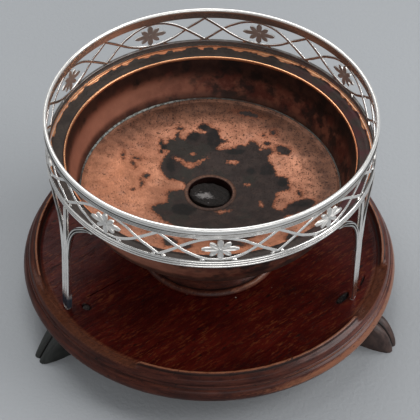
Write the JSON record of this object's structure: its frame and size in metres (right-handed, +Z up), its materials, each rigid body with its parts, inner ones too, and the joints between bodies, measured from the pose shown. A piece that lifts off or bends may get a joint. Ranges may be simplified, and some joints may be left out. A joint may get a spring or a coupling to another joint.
{
  "type": "pipe lighter",
  "caption": "Table brazier for lighting pipes: a pierced silver gallery on legs over a turned wooden base, with a lift-out copper coal pan on a central pedestal.",
  "frame": {"origin": "on the table, under the middle of the object's bounding box; the turned axis stands 3.5 mm in front of it", "axes": "+Z up along the turned axis, -Y towards the front rosette, +X to the right leg"},
  "size_m": [0.1912, 0.1982, 0.1194],
  "materials": {
    "silver": "polished silver with soft wear, darker in the grooves",
    "copper_floor": "bare copper, fire-stained",
    "dark_copper": "oxidised copper, bright on its worn edges",
    "mahogany": "old polish, worn on the edges",
    "iron": "rusted"
  },
  "bodies": {
    "stand": {"gallery_upper_rim": "silver", "gallery_lower_rim": "silver", "lattice_strap_high": "silver", "lattice_strap_low": "silver", "rosette_1": "silver", "rosette_2": "silver", "rosette_3": "silver", "rosette_4": "silver", "rosette_5": "silver", "rosette_6": "silver", "rosette_7": "silver", "rosette_8": "silver", "rosette_9": "silver", "leg_left": "silver", "leg_right": "silver", "leg_back": "silver", "base_board": "mahogany", "foot_left": "mahogany", "foot_right": "mahogany", "foot_back": "mahogany", "pedestal": "mahogany", "foot_nail_left": "iron", "foot_nail_right": "iron", "foot_nail_back": "iron"},
    "pan": {"pan_wall": "dark_copper", "pan_bottom": "copper_floor", "pan_eyelet": "dark_copper"}
  },
  "joints": [
    {"name": "pan_lift", "type": "slide", "parent": "stand", "child": "pan", "axis": [0, 0, 1], "range_m": [0, 0.09]}
  ]
}
